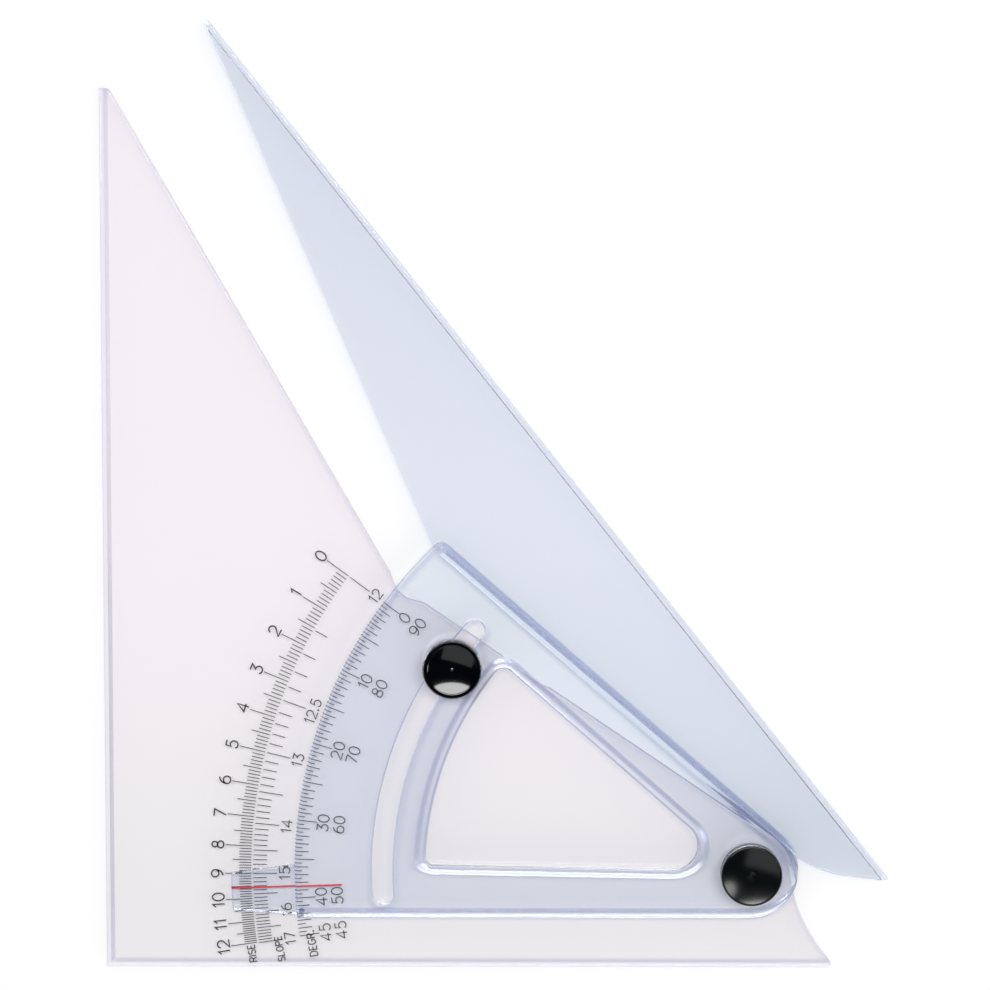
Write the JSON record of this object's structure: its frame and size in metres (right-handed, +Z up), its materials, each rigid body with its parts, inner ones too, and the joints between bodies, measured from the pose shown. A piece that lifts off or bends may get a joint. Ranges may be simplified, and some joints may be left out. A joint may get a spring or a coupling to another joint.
{
  "type": "adjustable set square",
  "caption": "Clear drafting set square with a blue-tinted arm that swings on a pivot over rise, slope and degree scales and is held by a black knurled knob in an arc slot.",
  "frame": {"origin": "On the pivot axis, in the plane of the underside that lies on the drawing", "axes": "+Y runs up the upright guiding edge, +X towards the free foot of the arm, +Z up to the reader"},
  "size_m": [0.2269, 0.2728, 0.0121],
  "materials": {
    "clear_acrylic": "polished clear sheet, printed scales on the top face",
    "tinted_acrylic": "moulded clear plastic with a pale blue tint and rounded edges",
    "red_inlay": "thin filled line",
    "screw_steel": "turned and zinc plated",
    "washer_plastic": "natural low-friction plastic",
    "turned_brass": "turned",
    "black_cap": "satin moulded",
    "black_knob": "polished dished face, knurled rim",
    "scale_ink": "thin printed ink of the scales"
  },
  "bodies": {
    "base": {"base_plate": "clear_acrylic", "pivot_screw": "screw_steel", "friction_washer": "washer_plastic", "spring_washer": "screw_steel", "pivot_nut": "turned_brass", "pivot_cap": "black_cap", "lock_screw": "screw_steel"},
    "arm": {"swing_arm": "tinted_acrylic", "index_line": "red_inlay"},
    "lock_lift": {"lock_washer": "black_cap"},
    "knob": {"lock_knob": "black_knob", "knob_insert": "turned_brass"}
  },
  "joints": [
    {"name": "arm_swing", "type": "hinge", "parent": "base", "child": "arm", "pos_m": [0, 0, 0], "axis": [0, 0, 1], "range_deg": [-38.5, 6.5]},
    {"name": "knob_lift", "type": "slide", "parent": "base", "child": "lock_lift", "axis": [0, 0, 1], "range_m": [0, 0.0015]},
    {"name": "knob_turn", "type": "hinge", "parent": "lock_lift", "child": "knob", "pos_m": [-0.08639, 0.06004, 0.0071], "axis": [0, 0, 1], "range_deg": [0, 1082]}
  ],
  "couplings": [
    {"joint": "knob_turn", "follows": "knob_lift", "rad_per_m": 12566}
  ]
}
